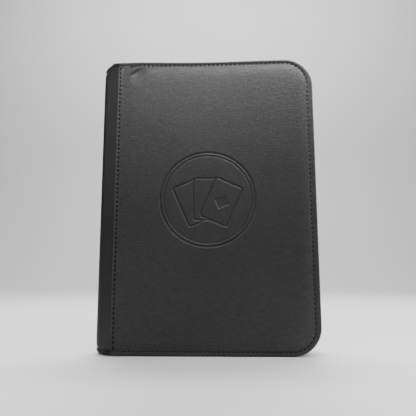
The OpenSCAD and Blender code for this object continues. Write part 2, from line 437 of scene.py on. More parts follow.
def linen_leather():
    """Imitation leather with a linen emboss: long slubs along X crossed by finer threads."""
    finish = Finish("linen_leather", grey(0.015, -0.02), 0.5, Specular_IOR_Level=0.5)
    slubs = finish.noise((120, 300, 1250), detail=4.0, rough=0.65)
    threads = finish.noise((1400, 300, 150), detail=3.0, rough=0.6)
    grain = finish.noise((3200, 3200, 3200), detail=2.0)
    patches = finish.noise((14, 14, 14), detail=3.0)
    weave = finish.blended((0.52, slubs), (0.32, threads), (0.16, grain))
    # Base colour is lighter on the raised slubs and threads, where the bump stands up: a painted highlight on
    # the emboss, plus random tone from the broad patches.
    finish.shade(finish.blended((0.88, weave), (0.12, patches)), grey(0.004, -0.02), grey(0.022, -0.02),
                 0.40, 0.60)
    finish.roughen(weave, 0.54, 0.42, 0.38, 0.62)
    finish.bump(weave, 0.62, 1.0)
    return finish.material


def spine_leather():
    """Smoother imitation leather with a fine pebble grain."""
    finish = Finish("spine_leather", grey(0.008, -0.02), 0.5, Specular_IOR_Level=0.24)
    pebbles = finish.cells((1300, 1300, 1300))
    grain = finish.noise((2600, 2600, 2600), detail=3.0)
    patches = finish.noise((22, 22, 9), detail=3.0)
    surface = finish.blended((0.55, pebbles), (0.45, grain))
    finish.shade(finish.blended((0.5, surface), (0.5, patches)), grey(0.005, -0.02), grey(0.010, -0.02))
    finish.roughen(patches, 0.40, 0.52)
    finish.bump(surface, 0.12, 0.7)
    return finish.material


def thread_finish():
    """Waxed twisted thread."""
    finish = Finish("thread", grey(0.003), 0.7, Specular_IOR_Level=0.12)
    twist = finish.ribs(900, turn=(0, math.radians(35), math.radians(20)))
    fuzz = finish.noise((5000, 5000, 5000))
    finish.shade(finish.blended((0.7, twist), (0.3, fuzz)), grey(0.0015), grey(0.005), 0.2, 0.8)
    finish.bump(finish.blended((0.8, twist), (0.2, fuzz)), 0.12)
    return finish.material


def woven(name, dark, light, per_metre, depth_mm, roughness=0.8, across=(0, 0, 0)):
    """Plain woven cloth of crossing threads."""
    finish = Finish(name, light, roughness, Sheen_Weight=0.25, Sheen_Roughness=0.5)
    warp = finish.ribs(per_metre, 0.6, across)
    weft = finish.ribs(per_metre, 0.6, (0, math.radians(90), 0))
    depth = finish.ribs(per_metre, 0.6, (0, 0, math.radians(90)))
    fuzz = finish.noise((2500, 2500, 2500), detail=3.0)
    wear = finish.noise((25, 25, 25), detail=3.0)
    crossing = finish.maths("MULTIPLY", warp, weft)
    weave = finish.maths("MAXIMUM", crossing, finish.maths("MULTIPLY", depth, 0.6))
    surface = finish.blended((0.7, weave), (0.3, fuzz))
    finish.shade(finish.blended((0.7, surface), (0.3, wear)), dark, light, 0.2, 0.7)
    finish.bump(surface, depth_mm)
    return finish.material


def moulded(name, colour, roughness, grain_mm=0.05):
    """Moulded plastic or rubber with a fine spark-eroded grain."""
    finish = Finish(name, colour, roughness)
    grain = finish.noise((2200, 2200, 2200), detail=3.0)
    patches = finish.noise((60, 60, 60), detail=2.0)
    finish.shade(finish.blended((0.4, grain), (0.6, patches)), tuple(c * 0.75 for c in colour),
                 tuple(c * 1.3 for c in colour))
    finish.roughen(patches, roughness - 0.06, roughness + 0.08)
    finish.bump(grain, grain_mm, 0.6)
    return finish.material


def coated_metal():
    """Gunmetal coating, rubbed brighter in patches."""
    finish = Finish("gunmetal", grey(0.10, -0.02), 0.3, Metallic=1.0)
    rub = finish.noise((420, 420, 420), detail=4.0)
    scratches = finish.noise((300, 4000, 4000), detail=2.0)
    finish.shade(rub, grey(0.07, -0.02), grey(0.20, -0.01), 0.4, 0.75)
    finish.roughen(scratches, 0.24, 0.42)
    finish.bump(scratches, 0.02, 0.4)
    return finish.material


def pocket_film():
    """Clear glossy film over a black backing sheet."""
    finish = Finish("pocket_film", grey(0.012), 0.16, Coat_Weight=0.6, Coat_Roughness=0.08)
    haze = finish.noise((30, 30, 30), detail=4.0)
    ripple = finish.noise((45, 45, 16), detail=2.0)
    finish.shade(haze, grey(0.009), grey(0.020))
    finish.roughen(haze, 0.12, 0.26)
    finish.bump(ripple, 0.5, 0.5)
    return finish.material


def weld_film():
    """Film welded to its backing by a fine crossed pattern of dots."""
    finish = Finish("weld_film", grey(0.014), 0.42)
    dots = finish.maths("MULTIPLY", finish.ribs(900), finish.ribs(900, turn=(0, math.radians(90), 0)))
    haze = finish.noise((120, 120, 120), detail=3.0)
    finish.shade(finish.blended((0.6, dots), (0.4, haze)), grey(0.008), grey(0.026), 0.1, 0.7)
    finish.roughen(haze, 0.34, 0.5)
    finish.bump(dots, 0.12)
    return finish.material


def greyboard():
    finish = Finish("greyboard", grey(0.25, 0.08), 0.9)
    fibres = finish.noise((900, 900, 200), detail=4.0)
    finish.shade(fibres, grey(0.16, 0.1), grey(0.30, 0.08))
    finish.bump(fibres, 0.1)
    return finish.material


def glue():
    finish = Finish("hot_melt_glue", grey(0.16, 0.12), 0.35, Subsurface_Weight=0.1)
    flow = finish.noise((90, 90, 25), detail=3.0)
    finish.shade(flow, grey(0.11, 0.16), grey(0.2, 0.12))
    finish.bump(flow, 0.4)
    return finish.material


def floor_finish():
    finish = Finish("pale_floor", grey(0.62, 0.01), 0.6)
    finish.roughen(finish.noise((3, 3, 3)), 0.55, 0.65)
    return finish.material


# ---- cover leather

def edge_distance(x, z):
    """Distance of a point of the cover from its nearest open edge."""
    beyond_x = x - BEND_X
    from_middle = np.abs(z - MIDDLE_Z)
    beyond_z = from_middle - (MIDDLE_Z - CORNER_R)
    straight = np.minimum(EDGE_X - x, MIDDLE_Z - from_middle)
    in_corner = (beyond_x > 0) & (beyond_z > 0)
    return np.where(in_corner, CORNER_R - np.hypot(beyond_x, beyond_z), straight)


def fore_share(x, z):
    """0 along the top and bottom edges and 1 along the fore-edge, changing over through the corners."""
    beyond_x = np.maximum(x - BEND_X, 1e-6)
    beyond_z = np.maximum(np.abs(z - MIDDLE_Z) - (MIDDLE_Z - CORNER_R), 0)
    return smooth(0, 1, 1 - np.arctan2(beyond_z, beyond_x) / (math.pi / 2))


def form_distance(x, z):
    """Edge distance for the bead and the pad, with the bead made wider along the fore-edge."""
    d = edge_distance(x, z)
    return d - FORE_EXTRA * fore_share(x, z) * smooth(0, 5, d) * (1 - smooth(12, 28, d))


def card_distance(x, z, turn):
    """Signed distance from the outline of a card of the fan, below 0 inside."""
    c, s = math.cos(math.radians(turn)), math.sin(math.radians(turn))
    along = x * c + (z + FAN_DROP) * s
    up = -x * s + (z + FAN_DROP) * c - FAN_DROP
    out_x = np.abs(along) - (CARD_W / 2 - CARD_R)
    out_z = np.abs(up) - (CARD_H / 2 - CARD_R)
    outside = np.hypot(np.maximum(out_x, 0), np.maximum(out_z, 0))
    pip = (np.abs(along) + np.abs(up) - DIAMOND / math.sqrt(2)) / math.sqrt(2)
    return outside + np.minimum(np.maximum(out_x, out_z), 0) - CARD_R, pip


def emblem_depth(x, z):
    """Depth of the debossed emblem from 0 to 1."""
    x, z = x - EMBLEM_X, z - EMBLEM_Z
    wall = 0.35

    def line(distance, width):
        """A line just inside the outline at distance 0."""
        return 1 - smooth(width / 2 - wall, width / 2 + wall, np.abs(distance + width / 2))

    radius = np.hypot(x, z)
    depth = np.maximum(line(radius - RING_R, LINE_W), 0.8 * line(radius - RING_R + 4.5, LINE_W * 0.6))
    uncovered = np.ones_like(x)
    for k in (-1, 0, 1):
        outline, pip = card_distance(x, z, k * FAN_STEP)
        depth = np.maximum(depth, line(outline, LINE_W) * uncovered)
        if k == -1:
            depth = np.maximum(depth, 1 - smooth(-wall, wall, pip))
        uncovered = uncovered * smooth(-wall, wall, outline)
    return depth


def seam_count():
    """Number of stitches down the folded edge."""
    return int((COVER_H - 2 * STITCH_IN) / STITCH_PITCH)


def seam_offset():
    """Height of a seam stitch over the middle of the cover, less a whole number of stitches."""
    return 0.0 if seam_count() % 2 else STITCH_PITCH / 2


def stitch_holes(x, z):
    """1 at each needle hole along the edge stitching and -1 in the middle of each stitch."""
    from_middle = np.abs(z - MIDDLE_Z)
    on_side_run = (x > BEND_X) & (from_middle < MIDDLE_Z - CORNER_R)
    in_corner = (x > BEND_X) & ~on_side_run
    angle = np.arctan2(from_middle - (MIDDLE_Z - CORNER_R), np.maximum(x - BEND_X, 1e-6))
    in_bend = round((CORNER_R - STITCH_IN) * math.pi / 2 / STITCH_PITCH)
    top = np.cos(math.tau * (BEND_X - x) / STITCH_PITCH)
    side = -np.cos(math.tau * from_middle / STITCH_PITCH)
    corner = np.cos(4 * angle * in_bend)
    return np.where(on_side_run, side, np.where(in_corner, corner, top))


def wrinkle(x, z):
    """The slanting crease below the top edge beside the seam: a crest that falls steeply into a dip."""
    x, z = x - WRINKLE_X, z - WRINKLE_Z
    along, across = 0.78 * x + 0.63 * z, 0.63 * x - 0.78 * z
    apart = 2.4
    crest = hump(across + apart, np.where(across < -apart, 6.0, apart))
    dip = hump(across - apart, np.where(across > apart, 8.0, apart))
    return hump(along, 9) * (1.1 * crest - 2.1 * dip)


def pad_drop(d):
    """How far the leather lies below its padded face where the pad thins out towards an open edge."""
    return (HALF_T - RIM_H - 0.3) * np.exp(-np.maximum(d - STITCH_IN + 0.6, 0) ** 1.25 / 11)


def edge_form(d):
    """Depth of the bead along an open edge, which stands up, and of the stitched groove beside it."""
    return 0.5 * hump(d - STITCH_IN, 1.0) - 0.55 * hump(d - 2.3, 1.5)


def strip_drop(t, d):
    """The same depth on the hinge strip, at a distance t from its fold."""
    return pad_drop(d) * (1 - 0.65 * smooth(0, 12, t)) * (1 - 0.6 * smooth(5.5, 8.5, d)) + 0.8 * edge_form(d)


def cover_height(x, z, has_emblem):
    """Height of the leather over the middle plane: edge, bead, stitched groove and padded face."""
    d, form_d = edge_distance(x, z), form_distance(x, z)
    s = x - FOLD_X
    inside = smooth(6, 9, d)
    height = HALF_T - pad_drop(form_d) - edge_form(form_d)
    height += 0.32 * hump(form_d - STITCH_IN, 1.2) * stitch_holes(x, z)
    # The seam: pits under its stitches, and the panel a step lower than the folded edge.
    seam_pits = smooth(-0.8, -0.1, np.cos(math.tau * (z - MIDDLE_Z - seam_offset()) / STITCH_PITCH))
    height -= 0.95 * hump(s - SEAM_IN, 1.15) * (0.2 + 0.8 * seam_pits) * inside
    height -= 0.5 * smooth(SEAM_IN - 0.3, SEAM_IN + 0.5, s) * (1 - smooth(5, 20, s)) * inside
    # The panel: crowned and faintly uneven.
    height -= 0.25 * ((x - PANEL_X) / (EDGE_X - PANEL_X)) ** 2 + 0.2 * ((z - MIDDLE_Z) / MIDDLE_Z) ** 2
    waves = np.sin(x / 17 + 1.3 * np.sin(z / 41)) * np.sin(z / 23 + 0.8) + np.sin((x + z) / 31 + 2)
    height += 0.05 * waves * smooth(8, 30, d) * smooth(8, 30, s)
    if has_emblem:
        height -= LINE_D * emblem_depth(x, z)
        height += wrinkle(x, z) * smooth(4.5, 8, d)
    # The seam's two ends are level with the hinge strip.
    seam_end = (1 - smooth(6, 12, s)) * (1 - smooth(4, 8, d))
    level = STRIP_H - strip_drop(0, d) + 0.1 + (HALF_T - STRIP_H) * smooth(0, 10, s)
    height += (level - height) * seam_end
    # The leather rolls over its open edges and its fold.
    by_seam = 1 - smooth(3, 12, s)
    low, flap = LINING_H + 0.4, STRIP_H + 0.3 - END_PINCH * (1 - smooth(7, 10, d))
    under = low + (flap - low) * by_seam
    height = under + np.maximum(height - under, 0.05) * rounded(d, 2.0 - 1.0 * by_seam)
    fold = STRIP_H - strip_drop(0, d) + 0.05 + 0.4 * smooth(4, 8, d)
    return np.minimum(fold + (height - fold) * rounded(s, 1.6), HALF_T)


def top_wave(x, z):
    """How far the sewn top edge waves up and down."""
    return 0.8 * np.cos(math.tau * (x - 95) / 200) * np.exp(-(COVER_H - z) / 14)


def cover_sheet(xs, zs, ds):
    """Flat sheet of quads with the cover's outline: a grid, three strips and two corner fans."""
    bend_steps = 40
    strips = ((xs, zs), (xs, COVER_H - ds), (xs, ds), (EDGE_X - ds, zs))
    blocks = [np.meshgrid(*strip, indexing="ij") for strip in strips]
    angle, radius = np.meshgrid(np.linspace(0, math.pi / 2, bend_steps + 1), CORNER_R - ds, indexing="ij")
    for up in (-1, 1):
        centre_z = MIDDLE_Z + up * (MIDDLE_Z - CORNER_R)
        blocks.append((BEND_X + radius * np.cos(angle), centre_z + up * radius * np.sin(angle)))
    places, quads, count = [], [], 0
    for x, z in blocks:
        places.append(np.stack([x.ravel(), z.ravel()], -1))
        quads.append(count + grid_quads(*x.shape))
        count += x.size
    places, quads = np.concatenate(places), np.concatenate(quads)
    _, first, same = np.unique(np.round(places / 1e-4).astype(np.int64), axis=0,
                               return_index=True, return_inverse=True)
    places, quads = places[first], same.reshape(-1)[quads]
    corners = places[quads]
    turned = np.cross(corners[:, 2] - corners[:, 0], corners[:, 3] - corners[:, 1]) < 0
    quads[turned] = quads[turned][:, ::-1]
    faces = [tuple(dict.fromkeys(quad)) for quad in quads.tolist()]
    return places[:, 0], places[:, 1], faces


def boundary(faces):
    """Indices round the outline of a sheet of faces, in order."""
    edges = {pair for face in faces for pair in zip(face, face[1:] + face[:1])}
    follow = {a: b for a, b in edges if (b, a) not in edges}
    loop = [min(follow)]
    while follow[loop[-1]] != loop[0]:
        loop.append(follow[loop[-1]])
    return loop


def inward_at(x, z):
    """Directions away from the edges at points of the cover's outline, the fold included."""
    step = 1e-3
    ahead_x, behind_x = edge_distance(x + step, z), edge_distance(x - step, z)
    ahead_z, behind_z = edge_distance(x, z + step), edge_distance(x, z - step)
    inward = np.stack([ahead_x - behind_x, ahead_z - behind_z], -1) / (2 * step)
    inward[edge_distance(x, z) > 0.01] = 0
    inward[x < FOLD_X + 0.01] += (1, 0)
    return inward


def cover_leather(side, material):
    """Padded cover: outer face, rolled edges and a flat underside, closed all round."""
    has_emblem = side == "front"
    coarse, fine = (1.35, 0.5) if has_emblem else (1.8, 1.8)
    reach = RING_R + 2
    xs = samples((FOLD_X, 0.15), (FOLD_X + 0.9, 0.3), (FOLD_X + 6, 0.7), (FOLD_X + 50, coarse),
                 (EMBLEM_X - reach, fine), (EMBLEM_X + reach, coarse), (BEND_X, 0))
    tall = STITCH_PITCH / 5
    zs = samples((CORNER_R, tall), (EMBLEM_Z - reach, fine if has_emblem else tall), (EMBLEM_Z + reach, tall),
                 (COVER_H - CORNER_R, 0))
    ds = samples((0, 0.12), (0.6, 0.3), (2.4, 0.5), (9, 0.9), (15, 2), (CORNER_R, 0))
    x, z, faces = cover_sheet(xs, zs, ds)
    waves = top_wave(x, z) * smooth(0, 25, x - FOLD_X)
    top = np.stack([x, cover_height(x, z, has_emblem), z + waves], -1)

    loop = boundary(faces)
    tuck = 1.1
    split_x = FOLD_X + 6.2
    inward = inward_at(x[loop], z[loop])
    under = top[loop].copy()
    under[:, 0] += tuck * inward[:, 0]
    under[:, 2] += tuck * inward[:, 1]
    pinch = END_PINCH * (1 - smooth(6, 10, edge_distance(under[:, 0], under[:, 2])))
    under[:, 1] = np.where(under[:, 0] < split_x, STRIP_H - pinch + 0.05, LINING_H + 0.05)
    start, count = len(top), len(loop)
    for i, after in enumerate(np.roll(range(count), -1).tolist()):
        faces.append((loop[i], start + i, start + after, loop[after]))
    flap = [start + i for i in range(count) if under[i, 0] < split_x]
    body = [start + i for i in range(count) if under[i, 0] >= split_x]
    flap, body = (turn_to_gap(run, count, start) for run in (flap, body))
    faces.append(tuple(reversed(flap)))
    faces.append(tuple(reversed(body)))
    faces.append((flap[-1], flap[0], body[-1], body[0]))
    shape = np.concatenate([top, under]), faces
    cover_piece(side, "cover_leather", shape, material, "cover_leather", "skin", "foam")


def turn_to_gap(run, count, start):
    """Turns a cyclic run of indices so that its one gap lies between its end and its start."""
    for k in range(len(run)):
        if (run[k] - start) != ((run[k - 1] - start) + 1) % count:
            return run[k:] + run[:k]
    return run


# ---- spine and hinge leather

def spine_profile():
    """Outer line of the leather from under the cover's fold to the middle of the spine, as rows of
    place and outward direction (x, h, out_x, out_h)."""
    corner = np.array([FOLD_X, STRIP_H])
    up = np.array([0.0, 1.0])
    bend = 0.7
    rows = [(x, STRIP_H, *up) for x in np.linspace(FOLD_X + SPINE_LAP, FOLD_X + bend, 8)]
    for t in np.linspace(0, 1, 7)[1:-1]:
        direction = up * (1 - t) + STRIP_OUT * t
        direction /= np.hypot(*direction)
        place = corner + np.array([bend, 0]) * (1 - t) ** 2 + STRIP_ALONG * bend * t ** 2
        rows.append((*place, *direction))
    rows.extend((*(corner + STRIP_ALONG * t), *STRIP_OUT) for t in np.linspace(bend, STRIP_LEN, 24))
    first = math.atan2(STRIP_OUT[1], STRIP_OUT[0])
    for angle in np.linspace(first, math.pi, 26)[1:]:
        rows.append((NOSE_X + NOSE_R * math.cos(angle), NOSE_R * math.sin(angle),
                     math.cos(angle), math.sin(angle)))
    return np.array(rows)


def spine_half(side, material):
    """Half of the spine's leather with the hinge strip beside it, which bends at the fold line."""
    rows = spine_profile()
    zs = samples((0, 0.12), (0.6, 0.3), (2.4, 0.5), (9, 3.2), (COVER_H - 9, 0.5), (COVER_H - 2.4, 0.3),
                 (COVER_H - 0.6, 0.12), (COVER_H, 0))
    d = np.minimum(zs, COVER_H - zs)
    rolled = 0.5 * (1 - rounded(d, 1.2))
    walked = np.concatenate([[0], np.cumsum(np.hypot(*np.diff(rows[:, :2], axis=0).T))])
    drop = strip_drop(walked[:, None] - SPINE_LAP, d[None, :])
    outer = rows[:, None, :2] - rows[:, None, 2:] * (drop + rolled)[..., None]
    inner = rows[:, None, :2] - rows[:, None, 2:] * (drop + SKIN_T - rolled)[..., None]
    shortened = NOSE_DROP * smooth(12, walked[-1] - 4, walked)
    arched = STRIP_ARCH * np.sin(math.pi * np.clip((walked - 5) / STRIP_LEN, 0, 1)) ** 2
    towards_middle = np.sign(MIDDLE_Z - zs) * (1 - smooth(0, 40, d))
    loops = []
    for i, z in enumerate(zs):
        ring = np.concatenate([outer[:, i], inner[::-1, i]])
        shift = shortened - arched if z > MIDDLE_Z else shortened
        height = z + towards_middle[i] * np.concatenate([shift, shift[::-1]])
        loops.append(np.stack([ring[:, 0], ring[:, 1], height], -1))
    obj = piece(f"{side}_spine_leather", on_side(side, skin_over(loops)), material,
                stands_for=(f"{side}_hinge_leather", "spine_leather"))
    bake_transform(obj)


# ---- stitches

def stitch_template():
    """One stitch along X on a face that looks along +h: a plump thread whose ends dive into the leather."""
    loops = []
    for t in np.linspace(-1, 1, 9):
        swell = math.sqrt(max(0.0, 1 - abs(t) ** 5)) * 0.9 + 0.1
        height = 0.16 - 0.62 * abs(t) ** 6
        angle = turns(8)
        loops.append(np.stack([np.full(8, t * STITCH_LEN / 2), height + 0.34 * swell * np.sin(angle),
                               THREAD_W / 2 * swell * np.cos(angle)], -1))
    return skin_over(loops)


def stitch_row(places):
    """Stitches from (place, direction, outward normal of the leather) rows."""
    template, template_faces = stitch_template()
    parts = []
    for place, along, out in places:
        along, out = Vector(along).normalized(), Vector(out).normalized()
        across = along.cross(out)
        slant = Matrix.Rotation(math.radians(6), 3, out)
        frame_of = slant @ Matrix((along, out, across)).transposed()
        parts.append((template @ np.array(frame_of).T + np.array(place), template_faces))
    return joined(parts)


def row_heights(count, pitch=STITCH_PITCH):
    """Heights of an upright row, centred on the binder's middle."""
    return MIDDLE_Z + (np.arange(count) - (count - 1) / 2) * pitch


def on_leather(x, z):
    """A place (x, h, z) for a stitch on the cover, sunk a little into the leather."""
    height = cover_height(np.array(x), np.array(z), False)
    return np.array([x, float(height) - STITCH_SINK, z])


def edge_stitch_places():
    """The stitches along a cover's top, bottom, fore-edge and two corners."""
    places = []
    for z in (STITCH_IN, COVER_H - STITCH_IN):
        for i in range(int((BEND_X - FOLD_X - EDGE_ROW_START) / STITCH_PITCH)):
            x = BEND_X - (i + 0.5) * STITCH_PITCH
            places.append((on_leather(x, z) + (0, 0, float(top_wave(x, z))), ALONG_X, OUTWARD))
    for z in row_heights(int((COVER_H - 2 * CORNER_R) / STITCH_PITCH)):
        places.append((on_leather(EDGE_X - STITCH_IN - FORE_EXTRA, z), UPWARD, OUTWARD))
    count = round((CORNER_R - STITCH_IN) * math.pi / 2 / STITCH_PITCH)
    for up in (-1, 1):
        for i in range(count):
            angle = (i + 0.5) * math.pi / 2 / count
            c, s = math.cos(angle), math.sin(angle)
            radius = CORNER_R - STITCH_IN - FORE_EXTRA * float(smooth(0, 1, 1 - angle / (math.pi / 2)))
            place = on_leather(BEND_X + radius * c, MIDDLE_Z + up * (MIDDLE_Z - CORNER_R + radius * s))
            places.append((place, (-s, 0, up * c), OUTWARD))
    return places


def seam_stitch_places():
    """The stitches down the folded edge."""
    return [(on_leather(FOLD_X + SEAM_IN, z), UPWARD, OUTWARD) for z in row_heights(seam_count())]


def strip_stitch_places():
    """The stitches that go on across the hinge strip's top and bottom ends."""
    places = []
    out = (STRIP_OUT[0], STRIP_OUT[1], 0)
    for z in (STITCH_IN, COVER_H - STITCH_IN):
        for i in range(int(STRIP_LEN / STITCH_PITCH) - 1):
            along = (i + 0.6) * STITCH_PITCH
            depth = strip_drop(along, STITCH_IN) + STITCH_SINK
            place = np.array([FOLD_X, STRIP_H]) + STRIP_ALONG * along - STRIP_OUT * depth
            places.append(((place[0], place[1], z), (STRIP_ALONG[0], STRIP_ALONG[1], 0), out))
    return places


# ---- zip

def zip_length(inset, start_x):
    """Length of the way round the covers' edge at an inset, from the top of the spine to its bottom."""
    return 2 * (BEND_X - start_x) + (CORNER_R - inset) * math.pi + COVER_H - 2 * CORNER_R


def zip_place(walked, inset, start_x):
    """Place on the covers' outline and the inward direction there (x, z, in_x, in_z) after a walk."""
    length = zip_length(inset, start_x)
    if walked > length / 2:
        x, z, in_x, in_z = zip_place(length - walked, inset, start_x)
        return x, COVER_H - z, in_x, -in_z
    run = BEND_X - start_x
    if walked < run:
        return start_x + walked, COVER_H, 0.0, -1.0
    angle = (walked - run) / (CORNER_R - inset)
    if angle < math.pi / 2:
        c, s = math.sin(angle), math.cos(angle)
        return BEND_X + CORNER_R * c, COVER_H - CORNER_R + CORNER_R * s, -c, -s
    return EDGE_X, COVER_H - CORNER_R - (walked - run - (CORNER_R - inset) * math.pi / 2), -1.0, 0.0


def swept(places, profile):
    """Grid of points for a profile of (inset, h) at each place on the outline. The profile may
    differ from place to place."""
    places, profile = np.asarray(places), np.asarray(profile)
    profile = np.broadcast_to(profile, (len(places), *profile.shape[-2:]))
    inset = profile[..., 0]
    return np.stack([places[:, None, 0] + inset * places[:, None, 2], profile[..., 1],
                     places[:, None, 1] + inset * places[:, None, 3]], -1)


def zip_tape(side, material):
    """Woven tape: a flange sewn under the cover's edge, a soft bend and a wall that bows outwards
    and ends in a corded edge under the coil."""
    bend = [(2.7, 16.3), (4.2, 16.3), (5.5, 16.3), (6.2, 16.1), (6.6, 15.5)]
    wall = [(TAPE_IN, h) for h in (14.6, 13, 11, 9, 7, 5, 3.6, 2.4, 1.6, 1.0)]
    middle = np.array(bend + wall)
    half = np.full(len(middle), 0.27)
    half[-3:] = (0.34, 0.42, 0.30)
    start_x = tape_low[0]
    walks = np.linspace(0, zip_length(TAPE_IN, start_x), 240)
    places = [zip_place(walked, TAPE_IN, start_x) for walked in walks]
    bow = 0.45 * hump(middle[:, 1] - 10, 3.5)
    sway = 1 + 0.35 * np.sin(walks / 37) + 0.2 * np.sin(walks / 11 + 1)
    profile = np.repeat(middle[None], len(walks), axis=0)
    profile[..., 0] -= bow[None] * sway[:, None]
    offset = normals(middle) * half[:, None]
    upper, lower = swept(places, profile + offset), swept(places, profile - offset)
    cover_piece(side, "zip_tape", slab(upper, lower - upper), material, "zip_tape",
                "tape_runs", "tape_corners")


def zip_coil(side, material):
    """Row of coil: bent loops sewn on the tape round a core cord."""
    start_x = coil_low[0]
    first = slider_high[0] + 0.5 - start_x if side == "front" else 0.0
    loop = np.array([(6.25, 2.95), (5.3, 3.0), (4.6, 2.6), (4.42, 1.8), (4.55, 1.1), (5.1, 0.57), (5.7, 0.57),
                     (6.15, 1.1), (6.3, 1.8)])
    angle = turns(6)
    wire = 0.36
    rings = loop[:, None] + wire * np.sin(angle)[None, :, None] * normals(loop)[:, None]
    shift = np.broadcast_to(wire * np.cos(angle), rings.shape[:2])
    template = np.concatenate([shift[..., None], rings], -1)
    _, tooth_faces = skin_over(template)
    template = template.reshape(-1, 3)
    parts = []
    offset = 0.25 if side == "front" else 0.75
    for k in range(int(zip_length(COIL_IN, start_x) / TOOTH_PITCH)):
        walked = (k + offset) * TOOTH_PITCH
        if walked > first:
            x, z, in_x, in_z = zip_place(walked, COIL_IN, start_x)
            points = np.stack([x + template[:, 1] * in_x - template[:, 0] * in_z, template[:, 2],
                               z + template[:, 1] * in_z + template[:, 0] * in_x], -1)
            parts.append((points, tooth_faces))
    core = np.stack([5.35 + 0.55 * np.cos(angle), 1.9 + 0.8 * np.sin(angle)], -1)
    walks = np.linspace(first, zip_length(COIL_IN, start_x), 220)
    parts.append(skin_over(swept([zip_place(walked, COIL_IN, start_x) for walked in walks], core)))
    cover_piece(side, "coil", joined(parts), material, "zip_coil", "zip_coil")


def zip_stops(side, material):
    """Small clamped metal stops at the two ends of a row of coil."""
    low, high = span(f"{side}_zip_stops")
    middle, half = (low + high) / 2, (high - low) / 2
    outline = squarish(half[0], half[1]) + middle[:2]
    height = coil_high[2] - WALL_Z
    parts = [plate(outline, z, z + height, 0.25) for z in (low[2], high[2] - height)]
    piece(f"{side}_end_stops", joined(parts), material, f"{side}_cover", (f"{side}_zip_stops",))


def bar_over(path, half_w, half_t):
    """Flat rounded bar along a path of (x, z) in the plane y = 0."""
    section = squarish(half_w, half_t, 12)
    loops = []
    for (x, z), (out_x, out_z) in zip(path, normals(path)):
        loops.append(np.stack([x + section[:, 1] * out_x, section[:, 0], z + section[:, 1] * out_z], -1))
    return skin_over(loops)


def zip_slider(material):
    """Cast slider: two waisted plates, guides along the upper one, a wedge and a bridge for the pull."""
    centre_x = (slider_low[0] + slider_high[0]) / 2
    half_len = (slider_high[0] - slider_low[0]) / 2
    half_w = slider_high[1]
    outline = squarish(half_len, half_w, 40, 0.5)
    outline[:, 1] *= 0.98 - 0.02 * outline[:, 0] / half_len - 0.05 * hump(outline[:, 0] - 1.5, 3)
    outline[:, 0] += centre_x
    upper_z = coil_high[2] + 0.4
    parts = [plate(outline, slider_low[2], slider_low[2] + 0.9, 0.25),
             plate(outline, upper_z, upper_z + 0.95, 0.3)]
    for y in (-1, 1):
        guide = squarish(half_len - 0.7, 0.3, 20) + (centre_x, y * (half_w - 0.65))
        parts.append(plate(guide, WALL_Z + 0.4, upper_z + 0.3, 0.15))
    wedge = squarish(1.8, 0.13, 16) + (slider_low[0] + 1.9, 0)
    parts.append(plate(wedge, slider_low[2] + 0.5, upper_z + 0.4, 0.1))
    top_z = slider_high[2] - 0.42
    half = [(4.0, upper_z + 0.5), (4.0, top_z - 1.6), (3.75, top_z - 0.7), (3.0, top_z - 0.12), (1.6, top_z)]
    bridge = [(-x, z) for x, z in half] + half[::-1]
    parts.append(bar_over([(centre_x + x * 0.9, z) for x, z in bridge], 1.2, 0.42))
    piece("slider", joined(parts), material, "zip_slider", ("zip_slider",))


def pull_link(material):
    """Wire loop of the pull: under the slider's bridge and into the grip."""
    pin = axis_of("pull_swing")
    reach, half_y, wire = 10.4, 2.75, 0.55
    angle = turns(10)
    centre = squarish(reach / 2, half_y, 40, 0.42) + (pin[0] + reach / 2, pin[1])
    along = np.roll(centre, -1, axis=0) - np.roll(centre, 1, axis=0)
    out = np.stack([along[:, 1], -along[:, 0]], -1) / np.hypot(*along.T)[:, None]
    loops = [np.stack([place[0] + wire * np.cos(angle) * o[0], place[1] + wire * np.cos(angle) * o[1],
                       pin[2] + wire * np.sin(angle)], -1) for place, o in zip(centre, out)]
    piece("pull_loop", skin_over(loops, endless=True), material, "zip_pull", ("pull_link",))


def pull_grip(material):
    """Moulded rubber grip with cross ribs, rounded all over."""
    low, high = span("pull_grip")
    pin = axis_of("pull_swing")
    length, half_w, half_t = high[0] - pin[0], (high[1] - low[1]) / 2, (high[2] - low[2]) / 2
    loops = []
    root, first_rib, last_rib, rib_pitch = 9.2, 13, 21, 1.6
    for u in np.linspace(root, length, 90):
        end = rounded(length - u, half_w)
        start = rounded(u - root + 0.02, 1.2)
        width = (half_w - 0.9 * (1 - smooth(root, 13.5, u))) * end * (0.6 + 0.4 * start)
        ribbed = first_rib < u < last_rib
        ribs = 0.5 - 0.5 * math.cos(math.tau * (u - first_rib) / rib_pitch) if ribbed else 0.0
        thick = half_t * (0.45 + 0.55 * rounded(length - u, 1.1) * start) * (1 - 0.3 * ribs)
        ring = squarish(max(width, 0.05), thick, 28, 0.6)
        ring[:, 1] *= 1 - 0.12 * (ring[:, 0] / half_w) ** 2
        loops.append(np.stack([np.full(28, pin[0] + u), ring[:, 0], pin[2] + ring[:, 1]], -1))
    piece("pull_tab", skin_over(loops), material, "zip_pull", ("pull_grip",))


